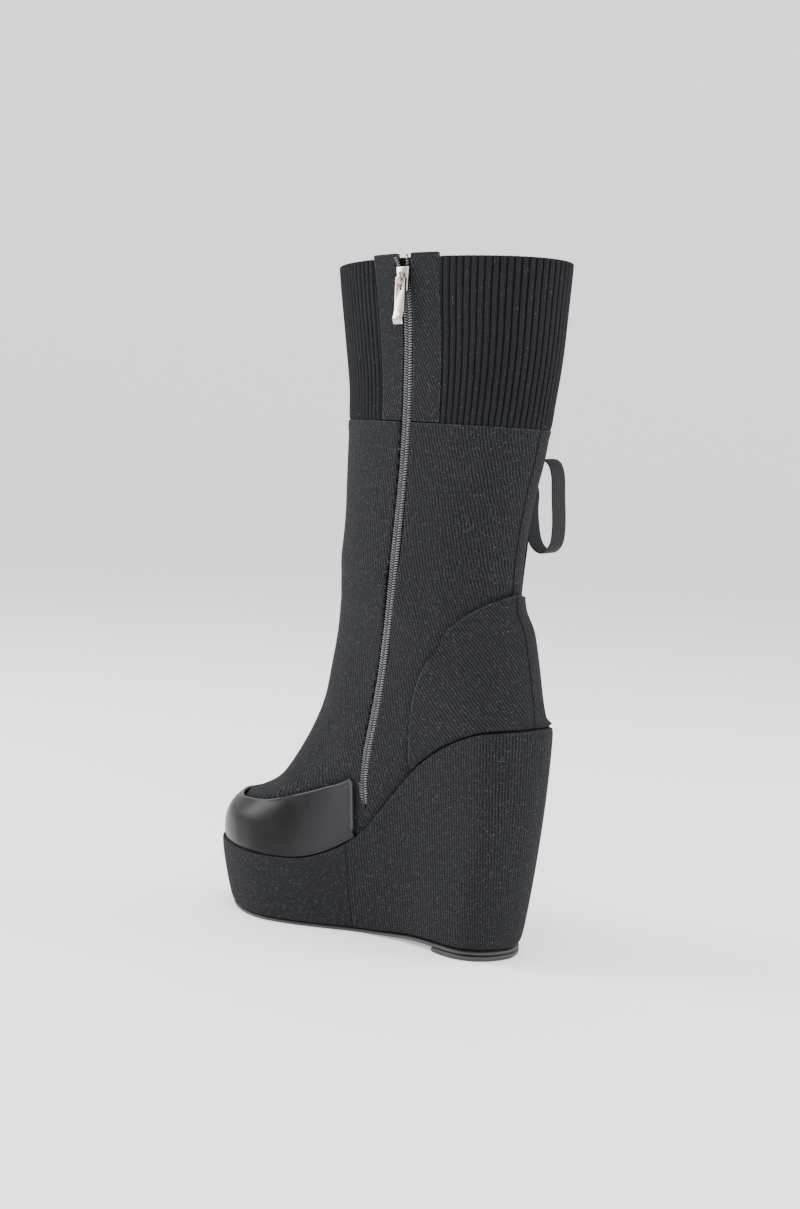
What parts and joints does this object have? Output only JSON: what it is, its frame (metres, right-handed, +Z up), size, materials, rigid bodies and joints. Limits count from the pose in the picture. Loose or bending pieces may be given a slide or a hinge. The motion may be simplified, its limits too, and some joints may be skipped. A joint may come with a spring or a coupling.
{
  "type": "mid-calf wedge boot",
  "caption": "Right mid-calf wedge boot with platform, fabric upper, leather toe band, ribbed knit cuff, side zip with hinged pull tab and a ribbon bow.",
  "frame": {"origin": "bottom centre of the boot's bounding box without its bow, on the floor", "axes": "+Y towards the toe, +X towards the outer side, +Z up"},
  "size_m": [0.0962, 0.22, 0.3742],
  "materials": {
    "twill": "charcoal twill with a light fleck",
    "rib_knit": "ribbed knit",
    "band_leather": "smooth satin black leather",
    "sole_rubber": "matte dark rubber",
    "lining_cloth": "plain black lining",
    "tape_cloth": "woven zip tape",
    "coil_plastic": "black coil with a soft shine",
    "warm_nickel": "warm polished nickel",
    "ribbon_cloth": "black ribbed ribbon"
  },
  "bodies": {
    "boot": {"wedge": "twill", "outsole": "sole_rubber", "heel_lift": "sole_rubber", "insole": "lining_cloth", "upper": "twill", "counter": "twill", "toe_band": "band_leather", "cuff": "rib_knit", "zip_band_front": "twill", "zip_band_rear": "twill", "zip_tape": "tape_cloth", "zip_coil": "coil_plastic", "slider": "warm_nickel", "bow_knot": "ribbon_cloth", "bow_loop_rear": "ribbon_cloth", "bow_loop_front": "ribbon_cloth", "bow_tail_rear": "ribbon_cloth", "bow_tail_front": "ribbon_cloth"},
    "tab": {"pull_tab": "warm_nickel"}
  },
  "joints": [
    {"name": "tab_swing", "type": "hinge", "parent": "boot", "child": "tab", "pos_m": [-0.04272, -0.03693, 0.36026], "axis": [-0.0003, 1, 0], "range_deg": [0, 150]}
  ]
}
